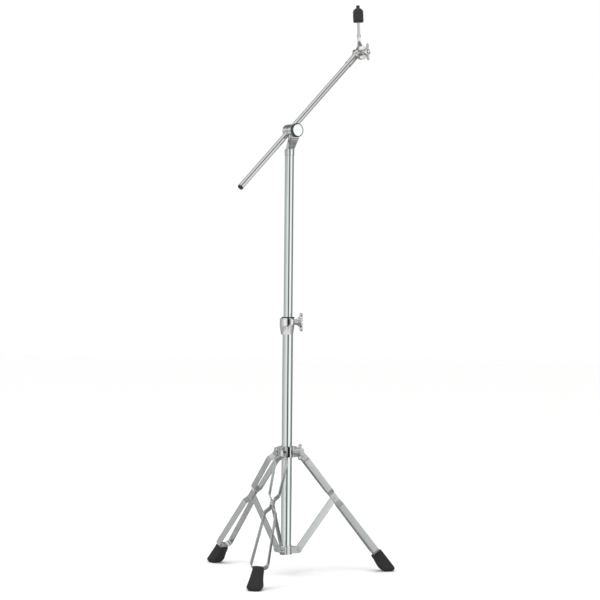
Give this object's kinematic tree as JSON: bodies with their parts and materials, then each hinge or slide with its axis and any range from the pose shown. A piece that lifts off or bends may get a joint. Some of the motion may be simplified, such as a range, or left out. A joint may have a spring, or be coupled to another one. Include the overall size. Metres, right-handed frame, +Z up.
{
  "type": "cymbal boom stand",
  "caption": "Cymbal boom stand: folding tripod, telescoping column, tilting boom arm and a tilter with a threaded rod and quick nut for a cymbal.",
  "frame": {"origin": "point on the floor under the column axis", "axes": "+Z up the column; +X is level, 14.5 degrees clockwise (seen from above) from the right leg; +Y is level, away from the side that the height clamp opens on"},
  "size_m": [0.4228, 0.4247, 1.2438],
  "materials": {
    "chrome_plate": "polished chrome plate",
    "black_plastic": "moulded, semi-gloss",
    "black_rubber": "matt rubber",
    "black_nylon": "satin nylon"
  },
  "bodies": {
    "column_base": {"base_tube": "chrome_plate", "bottom_collar": "chrome_plate", "height_clamp": "chrome_plate", "height_clamp_bush": "black_nylon", "strut_foot_pin_right": "chrome_plate", "strut_foot_pin_left": "chrome_plate", "strut_foot_pin_front": "chrome_plate"},
    "height_wing": {"height_wing_screw": "chrome_plate"},
    "tripod_collar": {"tripod_collar": "chrome_plate"},
    "tripod_wing": {"tripod_wing_screw": "chrome_plate"},
    "strut_right": {"strut_right": "chrome_plate"},
    "leg_right": {"leg_right": "chrome_plate", "foot_right": "black_rubber", "foot_screw_right": "chrome_plate", "leg_top_pin_right": "chrome_plate", "knee_pin_right": "chrome_plate"},
    "strut_left": {"strut_left": "chrome_plate"},
    "leg_left": {"leg_left": "chrome_plate", "foot_left": "black_rubber", "foot_screw_left": "chrome_plate", "leg_top_pin_left": "chrome_plate", "knee_pin_left": "chrome_plate"},
    "strut_front": {"strut_front": "chrome_plate"},
    "leg_front": {"leg_front": "chrome_plate", "foot_front": "black_rubber", "foot_screw_front": "chrome_plate", "leg_top_pin_front": "chrome_plate", "knee_pin_front": "chrome_plate"},
    "upper_guide": {"upper_tube_guide": "black_nylon"},
    "upper_tube": {"upper_tube": "chrome_plate", "boom_bracket": "chrome_plate", "bracket_pin": "chrome_plate"},
    "boom_holder": {"boom_holder": "chrome_plate", "eye_bolt": "chrome_plate"},
    "boom_knob": {"boom_clamp_knob": "chrome_plate", "knob_washer": "chrome_plate"},
    "boom_plug": {"boom_rod_plug": "black_plastic"},
    "boom_rod": {"boom_rod": "chrome_plate", "boom_end_fitting": "chrome_plate", "tilter_bolt": "chrome_plate"},
    "tilter_wing": {"tilter_wing_nut": "chrome_plate", "tilter_washer": "chrome_plate"},
    "tilter": {"tilter_head": "chrome_plate", "cymbal_rod": "chrome_plate", "cymbal_seat": "chrome_plate"},
    "nut_pad": {"nut_pad": "black_rubber"},
    "cymbal_nut": {"cymbal_nut": "black_plastic"}
  },
  "joints": [
    {"name": "tripod_fold", "type": "hinge", "parent": "column_base", "child": "strut_right", "pos_m": [0.02614, 0.00676, 0.052], "axis": [0.2504, -0.9681, 0], "range_deg": [0, 31.8]},
    {"name": "strut_left_fold", "type": "hinge", "parent": "column_base", "child": "strut_left", "pos_m": [-0.01893, 0.01926, 0.052], "axis": [0.7133, 0.7009, 0], "range_deg": [0, 31.9]},
    {"name": "strut_front_fold", "type": "hinge", "parent": "column_base", "child": "strut_front", "pos_m": [-0.00722, -0.02602, 0.052], "axis": [-0.9636, 0.2672, 0], "range_deg": [0, 31.9]},
    {"name": "leg_right_knee", "type": "hinge", "parent": "strut_right", "child": "leg_right", "pos_m": [0.1036, 0.02679, 0.16281], "axis": [0.2504, -0.9681, 0], "range_deg": [-68.4, 0]},
    {"name": "leg_left_knee", "type": "hinge", "parent": "strut_left", "child": "leg_left", "pos_m": [-0.075, 0.07632, 0.16281], "axis": [0.7133, 0.7009, 0], "range_deg": [-68.4, 0]},
    {"name": "leg_front_knee", "type": "hinge", "parent": "strut_front", "child": "leg_front", "pos_m": [-0.0286, -0.10312, 0.16281], "axis": [-0.9636, 0.2672, 0], "range_deg": [-68.4, 0]},
    {"name": "tripod_collar_slide", "type": "slide", "parent": "column_base", "child": "tripod_collar", "axis": [0, 0, 1], "range_m": [0, 0.0514]},
    {"name": "tripod_wing_turn", "type": "hinge", "parent": "tripod_collar", "child": "tripod_wing", "pos_m": [0.00351, -0.01989, 0.26411], "axis": [0.9848, 0.1736, 0], "continuous": true},
    {"name": "height_wing_turn", "type": "hinge", "parent": "column_base", "child": "height_wing", "pos_m": [0.00074, -0.02111, 0.5432], "axis": [0.9994, 0.0349, 0], "continuous": true},
    {"name": "height_slide", "type": "slide", "parent": "column_base", "child": "upper_guide", "axis": [0, 0, 1], "range_m": [-0.3, 0.1]},
    {"name": "upper_tube_turn", "type": "hinge", "parent": "upper_guide", "child": "upper_tube", "pos_m": [0, 0, 0.38], "axis": [0, 0, 1], "continuous": true},
    {"name": "boom_tilt", "type": "hinge", "parent": "upper_tube", "child": "boom_holder", "pos_m": [0, 0, 0.9545], "axis": [0.6018, -0.7986, 0], "range_deg": [-64, 12]},
    {"name": "boom_knob_turn", "type": "hinge", "parent": "boom_holder", "child": "boom_knob", "pos_m": [0.01369, -0.01817, 0.9545], "axis": [0.6018, -0.7986, 0], "continuous": true},
    {"name": "boom_slide", "type": "slide", "parent": "boom_holder", "child": "boom_plug", "axis": [0.5677, 0.4278, 0.7034], "range_m": [-0.2, 0.14]},
    {"name": "boom_roll", "type": "hinge", "parent": "boom_plug", "child": "boom_rod", "pos_m": [0, 0, 0.9545], "axis": [0.5677, 0.4278, 0.7034], "continuous": true},
    {"name": "tilter_wing_turn", "type": "hinge", "parent": "boom_rod", "child": "tilter_wing", "pos_m": [0.14873, 0.11208, 1.13879], "axis": [0.6018, -0.7986, 0], "continuous": true},
    {"name": "tilter_tilt", "type": "hinge", "parent": "boom_rod", "child": "tilter", "pos_m": [0.14873, 0.11208, 1.13879], "axis": [0.6018, -0.7986, 0], "range_deg": [-110, 60]},
    {"name": "cymbal_nut_lift", "type": "slide", "parent": "tilter", "child": "nut_pad", "axis": [-0.0418, -0.0315, 0.9986], "range_m": [0, 0.03]},
    {"name": "cymbal_nut_turn", "type": "hinge", "parent": "nut_pad", "child": "cymbal_nut", "pos_m": [0.14921, 0.1053, 1.20919], "axis": [-0.0418, -0.0315, 0.9986], "continuous": true}
  ],
  "couplings": [
    {"joint": "strut_left_fold", "follows": "tripod_fold", "ratio": 1},
    {"joint": "strut_front_fold", "follows": "tripod_fold", "ratio": 1},
    {"joint": "leg_right_knee", "follows": "tripod_fold", "ratio": -2.1441},
    {"joint": "leg_left_knee", "follows": "tripod_fold", "ratio": -2.1441},
    {"joint": "leg_front_knee", "follows": "tripod_fold", "ratio": -2.1441},
    {"joint": "tripod_collar_slide", "follows": "tripod_fold", "m_per_rad": 0.09211}
  ]
}
